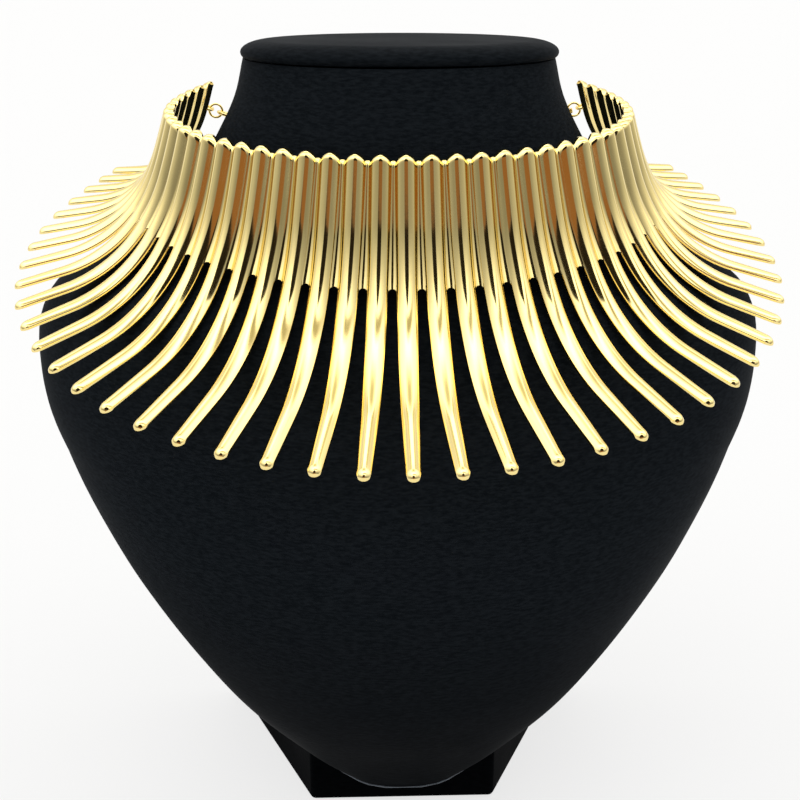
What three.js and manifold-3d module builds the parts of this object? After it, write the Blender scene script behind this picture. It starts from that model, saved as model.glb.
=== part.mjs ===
// A collar choker of long curved spikes, worn by a plain neck bust that stands on its own foot.
// Millimetres, +Z up. The bust faces -Y, and X runs across it from the viewer's left to right.

import * as THREE from "three";
import * as BufferGeometryUtils from "three/addons/utils/BufferGeometryUtils.js";
import Module from "manifold-3d";

// Collar: one stamped sheet of hollow-backed ribs, each of which runs down into a free spike.
const RIB_COUNT = 43; // odd: one rib at the front centre, the others in mirrored pairs
const RIB_PITCH = 7; // from rib to rib along the rim
const RIB_WIDTH = 5.7; // foot to foot across a rib's bead
const RIB_HEIGHT = 1.9; // of the bead's crest above the flat web between two ribs
const SHEET = 0.9; // metal thickness
const SPIKE_LENGTH = 100; // rim to tip along the front rib, measured on the curve
const BAND_DEPTH = 37; // rim to the top of the front slots, measured on the curve
const TIP_WIDTH = 3.8;
const SPIKE_FULLNESS = 1.7; // a spike's width is lost with this power of the share down it
const TIP_HEIGHT = 1.5; // of the crest at the tip
const RIM_SCALLOP = 1.9; // how far a bead's domed top stands above the web beside it
const DOME_LENGTH = 1.6; // of the rounded top end of a bead

// Plan of the rim: heading in radians at the share k of the way from the front to the end rib
// is k * (a + b k^2 + c k^4), a horseshoe that is widest at the sides and closes in a little.
const PLAN_TURN = { linear: 1.77, cubic: 1.07, quintic: -0.9 };

// The front rib's slope from the vertical in degrees, at even shares of its length from rim to
// tip, and what the end ribs' tips turn out further.
const PROFILE_SLOPES = [16, 19, 34, 54, 75, 75];
const END_SWEEP = 9;
// Ribs get shorter away from the front: length share = 1 - a k^2 + b k^4.
const RIB_FALL = { square: 0.65, fourth: 0.26 };
const BAND_FALL = 0.31; // share of the band's depth that is lost at the end ribs
const COLLAR_TILT = 5.8; // degrees that the rim rises toward the back
const COLLAR_FORWARD = 15; // front of the rim ahead of the neck's front
const SEAT_GAP = 0.4; // between the collar and the bust where it rests

const BAND_ROWS = 4; // rows of facets from rim to slots
const SPIKE_ROWS = 6; // rows of facets down a spike

// Findings that close the necklace behind the neck.
const EYE_RADIUS = 1.5; // soldered eye on each end rib, to the wire's centre
const EYE_WIRE = 1; // diameter
const EYE_DROP = 11; // below the rim along the end rib
const EYE_OVERLAP = 0.3; // of the eye's wire with the rib that it is soldered to
const RING_RADIUS = 2.3; // jump ring, to the wire's centre
const RING_WIRE = 0.8;
const LINK_LENGTH = 8.1; // overall
const LINK_WIDTH = 5.4;
const LINK_WIRE = 1.2;
const LINK_BITE = 0.2; // overlap that fuses each link to the next
const CHAIN_SLACK = 2; // least length that the chain has beyond a level run from eye to eye
const CLASP_LENGTH = 13;
const CLASP_WIDTH = 6.4; // across the end that takes the chain
const CLASP_TAIL = 3.6; // across the end that takes the jump ring
const CLASP_THICKNESS = 1.6;
const CLASP_RIM = 1.3; // metal around the large hole
const CLASP_TAIL_RIM = 0.8; // metal around the small hole
const CLASP_PLAY = 0.6; // between a clasp's hole and what pulls on it
const FIT_GAP = 0.3; // between other findings that hang in one another
const WIRE_SIDES = 6;
const RING_SIDES = 12;
const LINK_SIDES = 10;

// Bust: torso with neck, separate cap on the neck, and a foot behind the chest.
const BUST_HEIGHT = 262;
const BUST_WIDTH = 244;
const NECK_WIDTH = 99;
const NECK_DEPTH = 86;
const CHEST_REACH = 91; // of the chest ahead of the neck's axis
const SHOULDER_LINE = 8; // where the torso is widest, behind the neck's axis
const CAP_THICKNESS = 5.4;
const CAP_GAP = 0.4; // shadow line between cap and neck
const CAP_BEVEL = 1.6; // of its upper edge
const CAP_EASE = 1; // of its lower edge
const FOOT_FRONT = -30; // front face of the foot, from the neck's axis
const FOOT_DEPTH = 72;
const FOOT_HEIGHT = 165; // of its back, its top slopes down under the torso from there
const FOOT_FRONT_WIDTH = 65;
const FOOT_BACK_WIDTH = 132;
const FOOT_GAP = 0.4; // between the foot's sloping top and the torso
// The torso's back and lower edge lie in one sloping plane, through this point of the lip.
const LIP_Y = -45;
const LIP_Z = 17;
const LIP_SLOPE = 2.23; // rise over run toward the back

// Sections of the torso from the lip up: height as a share of BUST_HEIGHT, half width as a
// share of half BUST_WIDTH, and front as a share of CHEST_REACH.
const CHEST_SECTIONS = [
  { height: 0.065, half: 0.05, front: 0.5 },
  { height: 0.069, half: 0.1, front: 0.505 },
  { height: 0.077, half: 0.14, front: 0.52 },
  { height: 0.099, half: 0.225, front: 0.56 },
  { height: 0.128, half: 0.31, front: 0.615 },
  { height: 0.184, half: 0.452, front: 0.72 },
  { height: 0.258, half: 0.592, front: 0.835 },
  { height: 0.356, half: 0.748, front: 0.945 },
  { height: 0.413, half: 0.825, front: 0.985 },
  { height: 0.494, half: 0.92, front: 1.0 },
  { height: 0.56, half: 0.975, front: 0.975 },
  { height: 0.63, half: 0.99, front: 0.925 },
  { height: 0.68, half: 0.972, front: 0.85 },
  { height: 0.71, half: 0.926, front: 0.785 },
  { height: 0.735, half: 0.835, front: 0.73 },
  { height: 0.76, half: 0.739, front: 0.69 },
  { height: 0.785, half: 0.663, front: 0.66 },
];
// The neck above them: half width as a share of half NECK_WIDTH, front of half NECK_DEPTH.
const NECK_SECTIONS = [
  { height: 0.815, half: 1.46, front: 1.32 },
  { height: 0.85, half: 1.31, front: 1.24 },
  { height: 0.89, half: 1.18, front: 1.15 },
  { height: 0.935, half: 1.06, front: 1.05 },
  { height: 0.978, half: 1, front: 1 },
];
const SECTION_SIDES = 36;
const FRONT_ROUNDNESS = 2; // exponent of the superellipse in front, 2 is an ellipse
const BACK_ROUNDNESS = 3;

const SOLVED = 0.001; // how finely the collar's lift and the chain's sag are solved

const radians = THREE.MathUtils.degToRad;
const wasm = await Module();
wasm.setup();

// Meshes and solids

function closedGeometry(points, triangles) {
  const geometry = new THREE.BufferGeometry();
  geometry.setAttribute("position", new THREE.Float32BufferAttribute(points.flat(), 3));
  geometry.setIndex(triangles.flat());
  return geometry;
}

function toSolid(geometry) {
  const bare = geometry.clone();
  bare.deleteAttribute("normal");
  bare.deleteAttribute("uv");
  const merged = BufferGeometryUtils.mergeVertices(bare, 1e-4);
  return new wasm.Manifold(new wasm.Mesh({
    numProp: 3,
    vertProperties: Float32Array.from(merged.attributes.position.array),
    triVerts: Uint32Array.from(merged.index.array),
  }));
}

function toGeometry(solid) {
  const mesh = solid.getMesh();
  const geometry = new THREE.BufferGeometry();
  geometry.setAttribute("position", new THREE.BufferAttribute(mesh.vertProperties, 3));
  geometry.setIndex(new THREE.BufferAttribute(mesh.triVerts, 1));
  return geometry;
}

function join(geometries) {
  return toGeometry(geometries.map(toSolid).reduce((sum, solid) => sum.add(solid)));
}

// Triangles between two rows of vertex numbers that may differ in length. Seen from outside,
// row a lies above row b and both run from left to right.
function strip(a, b) {
  const triangles = [];
  let i = 0;
  let j = 0;
  while (i < a.length - 1 || j < b.length - 1) {
    const stepB = i === a.length - 1
      || (j < b.length - 1 && (j + 1) * (a.length - 1) <= (i + 1) * (b.length - 1));
    triangles.push(stepB ? [a[i], b[j], b[j + 1]] : [a[i], b[j], a[i + 1]]);
    if (stepB) j += 1;
    else i += 1;
  }
  return triangles;
}

// Shape of the collar

const END_RIB = (RIB_COUNT - 1) / 2;
const PLAN_STEP = 0.05; // in ribs

function heading(s) {
  const k = s / END_RIB;
  return k * (PLAN_TURN.linear + PLAN_TURN.cubic * k ** 2 + PLAN_TURN.quintic * k ** 4);
}

// The rim's plan, walked out from the front centre in small steps. s counts ribs.
function walkPlan() {
  const points = [new THREE.Vector2(0, 0)];
  for (let n = 0; n * PLAN_STEP < END_RIB + 2; n += 1) {
    const turn = heading((n + 0.5) * PLAN_STEP);
    const step = PLAN_STEP * RIB_PITCH;
    const last = points[n];
    points.push(new THREE.Vector2(last.x + step * Math.cos(turn), last.y + step * Math.sin(turn)));
  }
  return points;
}
const planWalk = walkPlan();

function planPoint(s) {
  const place = Math.abs(s) / PLAN_STEP;
  const n = Math.floor(place);
  const point = planWalk[n].clone().lerp(planWalk[n + 1], place - n);
  return new THREE.Vector2(Math.sign(s) * point.x, point.y);
}

function ribLength(s) {
  const k2 = (s / END_RIB) ** 2;
  return SPIKE_LENGTH * (1 - RIB_FALL.square * k2 + RIB_FALL.fourth * k2 ** 2);
}

function bandDepth(s) {
  return BAND_DEPTH * (1 - BAND_FALL * (s / END_RIB) ** 2);
}

function slopeAt(share, s) {
  const place = Math.min(Math.max(share, 0), 0.9999) * (PROFILE_SLOPES.length - 1);
  const n = Math.floor(place);
  const slope = THREE.MathUtils.lerp(PROFILE_SLOPES[n], PROFILE_SLOPES[n + 1], place - n);
  return radians(slope + END_SWEEP * share * (s / END_RIB) ** 2);
}

// Outward and downward travel, and slope, at the distance t down the rib at s.
function profile(s, t) {
  const steps = 48;
  const length = ribLength(s);
  let out = 0;
  let down = 0;
  for (let n = 0; n < steps; n += 1) {
    const slope = slopeAt(((n + 0.5) / steps) * (t / length), s);
    out += (t / steps) * Math.sin(slope);
    down += (t / steps) * Math.cos(slope);
  }
  return { out, down, slope: slopeAt(t / length, s) };
}

// A point of the sheet: rib place s, distance t below the rim, sideways offset across the rib
// and height off the web's face.
function sheetPoint(s, t, side, height) {
  const { out, down, slope } = profile(s, t);
  const turn = heading(s);
  const outward = new THREE.Vector3(Math.sin(turn), -Math.cos(turn), 0);
  const along = new THREE.Vector3(Math.cos(turn), Math.sin(turn), 0);
  const plan = planPoint(s);
  return new THREE.Vector3(plan.x, plan.y, -down)
    .addScaledVector(outward, out + height * Math.cos(slope))
    .addScaledVector(along, side)
    .add(new THREE.Vector3(0, 0, height * Math.sin(slope)));
}

// On the band a sideways offset follows the curve of the plan, so that ribs meet their webs.
function bandPoint(s, t, side, height) {
  const turnPerRib = heading(s + 0.5) - heading(s - 0.5);
  const pitch = RIB_PITCH + profile(s, t).out * turnPerRib;
  return sheetPoint(s + side / pitch, t, 0, height);
}

// Across a bead's outer face, as shares of its half width and of its crest.
const BEAD_SHARES = [[-1, 0], [-0.56, 0.78], [0, 1], [0.56, 0.78], [1, 0]];
// Its hollow back, as shares of the half width: the flat inside the crest, and the foot.
const CHANNEL_SHARE = 0.4;
const CHANNEL_FOOT_SHARE = 0.82;
const DOME_SHARE = 0.35; // of the crest that is left at a bead's domed top
// The last rows of a spike: distance before the tip and half width as shares of half the tip's
// width, and crest as a share of the tip's.
const TIP_ROWS = [{ before: 0.35, half: 0.76, crest: 0.78 }, { before: 0, half: 0.3, crest: 0.25 }];

function outerSection(half, crest) {
  return BEAD_SHARES.map(([side, height]) => [side * half, height * crest]);
}

function innerSection(half, crest, foot) {
  return [[-foot * half, -SHEET], [-CHANNEL_SHARE * half, crest - SHEET],
    [CHANNEL_SHARE * half, crest - SHEET], [foot * half, -SHEET]];
}

function buildCollarSheet() {
  const points = [];
  const triangles = [];
  const add = (vector) => points.push(vector.toArray()) - 1;
  const ribs = [];
  for (let rib = -END_RIB; rib <= END_RIB; rib += 1) ribs.push(buildRib(rib, add, triangles));
  for (let n = 0; n < ribs.length - 1; n += 1) {
    buildWeb(n - END_RIB + 0.5, ribs[n], ribs[n + 1], add, triangles);
  }
  const first = ribs[0];
  const last = ribs[ribs.length - 1];
  const firstColumn = (rows) => rows.slice(0, BAND_ROWS + 1).map((row) => row[0]);
  const lastColumn = (rows) => rows.slice(0, BAND_ROWS + 1).map((row) => row[row.length - 1]);
  triangles.push(...strip(firstColumn(first.outer), firstColumn(first.inner)));
  triangles.push(...strip(lastColumn(last.inner), lastColumn(last.outer)));
  return closedGeometry(points, triangles);
}

// The rounded end of a slot: its radius is half the gap between two spikes.
function slotRadius(s) {
  const turnPerRib = heading(s + 0.5) - heading(s - 0.5);
  return (RIB_PITCH + profile(s, bandDepth(s)).out * turnPerRib - RIB_WIDTH) / 2;
}

// Rows of vertices down one rib, from the rim to the tip, outside and inside.
function buildRib(rib, add, triangles) {
  const outer = [];
  const inner = [];
  const half = RIB_WIDTH / 2;
  const bandAt = (side, share, shift) =>
    shift + share * (bandDepth(rib + side / RIB_PITCH) - shift);
  for (let row = 0; row <= BAND_ROWS; row += 1) {
    const share = row < 2 ? 0 : (row - 1) / (BAND_ROWS - 1);
    const end = row === BAND_ROWS ? slotRadius(rib) : 0;
    const crest = RIB_HEIGHT * (row === 0 ? DOME_SHARE : 1);
    const foot = row === BAND_ROWS ? 1 : CHANNEL_FOOT_SHARE;
    const topOf = (side) => RIM_SCALLOP * (side / half) ** 2 + (row === 0 ? 0 : DOME_LENGTH);
    const bandRow = ([side, height]) => add(bandPoint(
      rib, bandAt(side, share, topOf(side)) + end, side, height));
    outer.push(outerSection(half, crest).map(bandRow));
    inner.push(innerSection(half, crest, foot).map(bandRow));
  }
  for (const row of spikeRows(rib)) {
    const spikeRow = ([side, height]) => add(sheetPoint(rib, row.t, side, height));
    outer.push(outerSection(row.half, row.crest).map(spikeRow));
    inner.push(innerSection(row.half, row.crest, 1).map(spikeRow));
  }
  stitchRib(outer, inner, triangles);
  return { outer, inner };
}

// Distance, half width and crest of the rows below the slots, the last three round off the tip.
function spikeRows(rib) {
  const start = bandDepth(rib) + slotRadius(rib);
  const length = ribLength(rib);
  const tip = TIP_WIDTH / 2;
  const rows = [];
  for (let n = 1; n <= SPIKE_ROWS; n += 1) {
    const share = n / SPIKE_ROWS;
    rows.push({
      t: THREE.MathUtils.lerp(start, length - tip, share),
      half: THREE.MathUtils.lerp(RIB_WIDTH / 2, tip, share ** SPIKE_FULLNESS),
      crest: THREE.MathUtils.lerp(RIB_HEIGHT, TIP_HEIGHT, share),
    });
  }
  const ends = TIP_ROWS.map((row) => (
    { t: length - row.before * tip, half: row.half * tip, crest: row.crest * TIP_HEIGHT }));
  return [...rows, ...ends];
}

function stitchRib(outer, inner, triangles) {
  const last = outer.length - 1;
  for (let row = 0; row < last; row += 1) {
    triangles.push(...strip(outer[row], outer[row + 1]));
    triangles.push(...strip(inner[row + 1], inner[row]));
  }
  triangles.push(...strip(inner[0], outer[0]));
  triangles.push(...strip(outer[last], inner[last]));
  const below = (rows, end) => rows.slice(BAND_ROWS).map((row) => row[end ? row.length - 1 : 0]);
  triangles.push(...strip(below(outer, false), below(inner, false)));
  triangles.push(...strip(below(inner, true), below(outer, true)));
}

// The flat web between two ribs, down to the rounded top of the slot below it.
function buildWeb(s, left, right, add, triangles) {
  const radius = slotRadius(s);
  const arc = [-0.7, 0, 0.7].map((share) => [share * radius,
    bandDepth(s) + radius * (1 - Math.sqrt(1 - share ** 2))]);
  const endRow = (rows, height) => {
    const middle = arc.map(([side, t]) => add(bandPoint(s, t, side, height)));
    return [rows[0], ...middle, rows[1]];
  };
  const pair = (a, b) => [a[a.length - 1], b[0]];
  const outerRows = [];
  const innerRows = [];
  for (let row = 0; row <= BAND_ROWS; row += 1) {
    const outer = pair(left.outer[row], right.outer[row]);
    const inner = pair(left.inner[row], right.inner[row]);
    outerRows.push(row === BAND_ROWS ? endRow(outer, 0) : outer);
    innerRows.push(row === BAND_ROWS ? endRow(inner, -SHEET) : inner);
  }
  for (let row = 0; row < BAND_ROWS; row += 1) {
    triangles.push(...strip(outerRows[row], outerRows[row + 1]));
    triangles.push(...strip(innerRows[row + 1], innerRows[row]));
  }
  triangles.push(...strip(innerRows[0], outerRows[0]));
  triangles.push(...strip(outerRows[BAND_ROWS], innerRows[BAND_ROWS]));
}

// Places a collar point on the bust: tilted back, moved forward and lifted to its seat.
function collarMatrix(lift) {
  return new THREE.Matrix4().makeTranslation(0, -NECK_DEPTH / 2 - COLLAR_FORWARD, lift)
    .multiply(new THREE.Matrix4().makeRotationX(radians(COLLAR_TILT)));
}

// Bust

function tableRow(row, half, front) {
  return { z: row.height * BUST_HEIGHT, half: row.half * half, front: -row.front * front };
}

function torsoSections() {
  const rows = [
    ...CHEST_SECTIONS.map((row) => tableRow(row, BUST_WIDTH / 2, CHEST_REACH)),
    ...NECK_SECTIONS.map((row) => tableRow(row, NECK_WIDTH / 2, NECK_DEPTH / 2)),
  ];
  return rows.map((row) => {
    const back = Math.min(NECK_DEPTH / 2, LIP_Y + (row.z - LIP_Z) / LIP_SLOPE);
    return { ...row, back, widest: Math.min(back, SHOULDER_LINE) };
  });
}

function superellipse(angle, roundness) {
  const power = 2 / roundness;
  return [Math.sign(Math.cos(angle)) * Math.abs(Math.cos(angle)) ** power,
    Math.abs(Math.sin(angle)) ** power];
}

// One section's outline, from the right lip round the back to the left and along the front.
function sectionPoint(row, n) {
  const angle = (2 * Math.PI * n) / SECTION_SIDES;
  const behind = n <= SECTION_SIDES / 2;
  const [across, deep] = superellipse(angle, behind ? BACK_ROUNDNESS : FRONT_ROUNDNESS);
  const reach = behind ? row.back - row.widest : row.front - row.widest;
  return [row.half * across, row.widest + reach * deep, row.z];
}

// A closed solid through outlines of SECTION_SIDES points each, listed from the bottom up.
function loft(outlines) {
  const triangles = [];
  const ring = (level) => Array.from({ length: SECTION_SIDES + 1 },
    (_, n) => level * SECTION_SIDES + (n % SECTION_SIDES));
  for (let level = 1; level < outlines.length; level += 1) {
    triangles.push(...strip(ring(level), ring(level - 1)));
  }
  const top = (outlines.length - 1) * SECTION_SIDES;
  for (let n = 1; n < SECTION_SIDES - 1; n += 1) {
    triangles.push([0, n + 1, n], [top, top + n, top + n + 1]);
  }
  return closedGeometry(outlines.flat(), triangles);
}

function outline(pointAt) {
  return Array.from({ length: SECTION_SIDES }, (_, n) => pointAt(n));
}

function buildTorso() {
  return loft(torsoSections().map((row) => outline((n) => sectionPoint(row, n))));
}

function buildCap() {
  const neck = torsoSections().pop();
  const bottom = neck.z + CAP_GAP;
  const top = bottom + CAP_THICKNESS;
  const rows = [[bottom, CAP_EASE], [bottom + CAP_EASE, 0], [top - CAP_BEVEL, 0], [top, CAP_BEVEL]];
  return loft(rows.map(([z, inset]) => outline((n) => {
    const angle = (2 * Math.PI * n) / SECTION_SIDES;
    return [(neck.half - inset) * Math.cos(angle),
      (NECK_DEPTH / 2 - inset) * Math.sin(angle), z];
  })));
}

// A block whose plan widens toward the back and whose front is cut off under the torso's back.
function buildFoot() {
  const back = FOOT_FRONT + FOOT_DEPTH;
  const drop = FOOT_GAP * Math.hypot(1, LIP_SLOPE);
  const frontTop = LIP_Z + (FOOT_FRONT - LIP_Y) * LIP_SLOPE - drop;
  const knee = LIP_Y + (FOOT_HEIGHT + drop - LIP_Z) / LIP_SLOPE;
  const halfAt = (y) => THREE.MathUtils.mapLinear(
    y, FOOT_FRONT, back, FOOT_FRONT_WIDTH / 2, FOOT_BACK_WIDTH / 2);
  const side = [[FOOT_FRONT, 0], [FOOT_FRONT, frontTop], [knee, FOOT_HEIGHT],
    [back, FOOT_HEIGHT], [back, 0]];
  const count = side.length;
  const points = [-1, 1].flatMap((sign) => side.map(([y, z]) => [sign * halfAt(y), y, z]));
  const triangles = [];
  for (let n = 0; n < count; n += 1) {
    const next = (n + 1) % count;
    triangles.push([n, next + count, next], [n, n + count, next + count]);
    if (n > 0 && n < count - 1) {
      triangles.push([0, n, n + 1], [count, count + n + 1, count + n]);
    }
  }
  return closedGeometry(points, triangles);
}

// True where a point lies in the torso or nearer to its side than the gap.
function torsoHolds(sections, point, gap) {
  const level = sections.findIndex((row) => row.z >= point.z);
  if (level < 1) return false;
  const low = sections[level - 1];
  const high = sections[level];
  const share = (point.z - low.z) / (high.z - low.z);
  const mix = (name) => THREE.MathUtils.lerp(low[name], high[name], share);
  const behind = point.y > mix("widest");
  const reach = Math.abs(mix(behind ? "back" : "front") - mix("widest")) + gap;
  const power = behind ? BACK_ROUNDNESS : FRONT_ROUNDNESS;
  return Math.abs(point.x / (mix("half") + gap)) ** power
    + Math.abs((point.y - mix("widest")) / reach) ** power < 1;
}

// The lowest lift at which the collar clears the torso by the seat gap all round.
function seatLift(collar) {
  const sections = torsoSections();
  const points = [];
  const position = collar.attributes.position;
  for (let n = 0; n < position.count; n += 1) {
    points.push(new THREE.Vector3().fromBufferAttribute(position, n));
  }
  let free = BUST_HEIGHT + SPIKE_LENGTH;
  let blocked = BUST_HEIGHT / 2;
  while (free - blocked > SOLVED) {
    const lift = (free + blocked) / 2;
    const matrix = collarMatrix(lift);
    const hit = points.some((point) =>
      torsoHolds(sections, point.clone().applyMatrix4(matrix), SEAT_GAP));
    if (hit) blocked = lift;
    else free = lift;
  }
  return free;
}

// Findings

// A ring of round wire in the XY plane, drawn out along X by the stretch.
function wireRing(radius, wire, sides, stretch = 0) {
  const ring = new THREE.TorusGeometry(radius, wire / 2, WIRE_SIDES, sides);
  const position = ring.attributes.position;
  for (let n = 0; n < position.count; n += 1) {
    const x = position.getX(n);
    position.setX(n, x + Math.sign(Math.round(x * 1000)) * stretch);
  }
  return ring;
}

// Centre of the eye on the last rib, in the collar's own frame. sign is 1 right, -1 left.
function eyeCentre(sign) {
  const side = RIB_WIDTH / 2 + EYE_RADIUS + EYE_WIRE / 2 - EYE_OVERLAP;
  return sheetPoint(sign * END_RIB, EYE_DROP, sign * side, -SHEET / 2);
}

function buildEye(sign) {
  const s = sign * END_RIB;
  const { slope } = profile(s, EYE_DROP);
  const eye = wireRing(EYE_RADIUS, EYE_WIRE, LINK_SIDES);
  // The eye's axis runs down the rib, so its hole takes an upright ring.
  const matrix = new THREE.Matrix4().makeRotationZ(heading(s) - Math.PI / 2)
    .multiply(new THREE.Matrix4().makeRotationY(-slope));
  return eye.applyMatrix4(matrix.setPosition(eyeCentre(sign)));
}

// The hidden stretch hangs behind the neck from eye to eye, in a curve that passes the neck's
// back with a gap and sags as far as its length allows.
function chainCurve(left, right, sag) {
  const y = Math.max(left.y, NECK_DEPTH / 2 + LINK_WIDTH / 2 + FIT_GAP);
  const points = [-1, -0.6, 0, 0.6, 1].map((share) => new THREE.Vector3(
    share * right.x, Math.abs(share) === 1 ? left.y : y, left.z - sag * (1 - share ** 2)));
  return new THREE.CatmullRomCurve3(points);
}

// Distances along the necklace from the left eye to each finding's centre.
function chainLayout(links) {
  const ringHole = RING_RADIUS - RING_WIRE / 2;
  const linkHole = LINK_LENGTH / 2 - LINK_WIRE;
  const tail = CLASP_TAIL / 2 - CLASP_TAIL_RIM;
  const head = CLASP_WIDTH / 2 - CLASP_RIM;
  const eyeToRing = EYE_RADIUS - EYE_WIRE / 2 + ringHole - FIT_GAP;
  const ringToLink = ringHole + linkHole - FIT_GAP;
  const linkPitch = LINK_LENGTH - 2 * LINK_WIRE + LINK_BITE;
  const linkToClasp = linkHole + head - CLASP_PLAY + CLASP_LENGTH / 2 - CLASP_WIDTH / 2;
  const claspToRing = CLASP_LENGTH / 2 - CLASP_TAIL / 2 + tail + ringHole - CLASP_PLAY;
  const firstLink = eyeToRing + ringToLink;
  const lastLink = firstLink + (links - 1) * linkPitch;
  const clasp = lastLink + linkToClasp;
  const lastRing = clasp + claspToRing;
  const length = lastRing + eyeToRing;
  return { links, eyeToRing, firstLink, linkPitch, clasp, lastRing, length };
}

// An even number of links, so that both ends of the chain meet their neighbours crosswise, and
// enough of them for the level run with its slack.
function layoutFor(run) {
  let layout = chainLayout(2);
  while (layout.length < run + CHAIN_SLACK) layout = chainLayout(layout.links + 2);
  return layout;
}

function hangChain(left, right, length) {
  let low = 0;
  let high = length;
  while (high - low > SOLVED) {
    const sag = (low + high) / 2;
    if (chainCurve(left, right, sag).getLength() < length) low = sag;
    else high = sag;
  }
  const curve = chainCurve(left, right, low);
  curve.arcLengthDivisions = 2000;
  curve.updateArcLengths();
  return curve;
}

// Frame at a distance along the chain: X follows it, and Z is level or, if upright, faces back.
function chainFrame(curve, distance, upright) {
  const share = distance / curve.getLength();
  const along = curve.getTangentAt(share);
  const across = new THREE.Vector3(0, 1, 0).addScaledVector(along, -along.y).normalize();
  const third = new THREE.Vector3().crossVectors(along, across);
  const axes = upright ? [along, third.clone().negate(), across] : [along, across, third];
  return new THREE.Matrix4().makeBasis(...axes).setPosition(curve.getPointAt(share));
}

function buildChain(curve, layout) {
  const radius = (LINK_WIDTH - LINK_WIRE) / 2;
  const links = [];
  for (let n = 0; n < layout.links; n += 1) {
    const frame = chainFrame(curve, layout.firstLink + n * layout.linkPitch,
      n % 2 === 1);
    links.push(wireRing(radius, LINK_WIRE, LINK_SIDES, (LINK_LENGTH - LINK_WIDTH) / 2)
      .applyMatrix4(frame));
  }
  return join(links);
}

// A plain clasp: a flat drop with a large hole for the chain and a small one for the ring.
function buildClasp() {
  const head = CLASP_WIDTH / 2;
  const tail = CLASP_TAIL / 2;
  const headX = CLASP_LENGTH / 2 - head;
  const tailX = CLASP_LENGTH / 2 - tail;
  const lean = Math.asin((head - tail) / (headX + tailX));
  const shape = new THREE.Shape();
  shape.absarc(-headX, 0, head, Math.PI / 2 - lean, Math.PI * 1.5 + lean, false);
  shape.absarc(tailX, 0, tail, -Math.PI / 2 + lean, Math.PI / 2 - lean, false);
  shape.closePath();
  for (const [x, radius] of [[-headX, head - CLASP_RIM], [tailX, tail - CLASP_TAIL_RIM]]) {
    const hole = new THREE.Path();
    hole.absarc(x, 0, radius, 0, 2 * Math.PI, true);
    shape.holes.push(hole);
  }
  const plate = new THREE.ExtrudeGeometry(shape, {
    depth: CLASP_THICKNESS, curveSegments: 8, bevelEnabled: false,
  });
  return plate.translate(0, 0, -CLASP_THICKNESS / 2);
}

const gold = new THREE.MeshStandardMaterial({ color: 0xd9b56a, metalness: 1, roughness: 0.2 });
const leatherette = new THREE.MeshStandardMaterial({ color: 0x16181a, roughness: 0.6 });
const parts = new THREE.Group();

function place(name, geometry, material) {
  const mesh = new THREE.Mesh(geometry, material);
  mesh.name = name;
  parts.add(mesh);
}

const sheet = buildCollarSheet();
const seat = collarMatrix(seatLift(sheet));
place("collar", join([sheet, buildEye(1), buildEye(-1)]).applyMatrix4(seat), gold);

const [leftEye, rightEye] = [-1, 1].map((sign) => eyeCentre(sign).applyMatrix4(seat));
const layout = layoutFor(chainCurve(leftEye, rightEye, 0).getLength());
const curve = hangChain(leftEye, rightEye, layout.length);
const ring = () => wireRing(RING_RADIUS, RING_WIRE, RING_SIDES);
place("jump_ring_left", ring().applyMatrix4(chainFrame(curve, layout.eyeToRing, true)), gold);
place("chain", buildChain(curve, layout), gold);
place("clasp", buildClasp().applyMatrix4(chainFrame(curve, layout.clasp, false)), gold);
place("jump_ring_right", ring().applyMatrix4(chainFrame(curve, layout.lastRing, true)), gold);

place("bust_torso", buildTorso(), leatherette);
place("bust_neck_cap", buildCap(), leatherette);
place("bust_foot", buildFoot(), leatherette);

// The origin lies under the middle of the whole, on the surface that it stands on.
const box = new THREE.Box3().setFromObject(parts);
parts.position.set(0, -(box.min.y + box.max.y) / 2, 0);
const group = new THREE.Group();
group.add(parts);

export default group;
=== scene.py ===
# Looks of a gold spike collar on a black display bust. Sizes are in millimetres until a mesh
# is made, and every piece takes its place from the frame's own nodes.

import math

import bpy
import numpy as np
from mathutils import Matrix, Vector


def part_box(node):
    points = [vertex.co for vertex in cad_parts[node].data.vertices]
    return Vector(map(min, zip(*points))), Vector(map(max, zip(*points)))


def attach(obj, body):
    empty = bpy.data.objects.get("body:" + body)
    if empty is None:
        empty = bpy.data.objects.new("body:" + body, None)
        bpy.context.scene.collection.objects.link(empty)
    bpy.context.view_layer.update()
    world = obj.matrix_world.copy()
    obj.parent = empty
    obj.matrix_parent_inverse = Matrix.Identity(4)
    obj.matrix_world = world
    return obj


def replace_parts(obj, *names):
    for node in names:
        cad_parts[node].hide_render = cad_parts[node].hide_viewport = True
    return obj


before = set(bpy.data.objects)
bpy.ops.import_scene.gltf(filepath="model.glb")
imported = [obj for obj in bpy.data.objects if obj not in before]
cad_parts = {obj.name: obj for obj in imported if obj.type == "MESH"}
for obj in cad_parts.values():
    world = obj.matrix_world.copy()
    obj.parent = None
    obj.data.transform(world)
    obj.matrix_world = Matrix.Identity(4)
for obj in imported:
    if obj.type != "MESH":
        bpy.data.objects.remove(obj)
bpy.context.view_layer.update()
MM = 0.001

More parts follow.
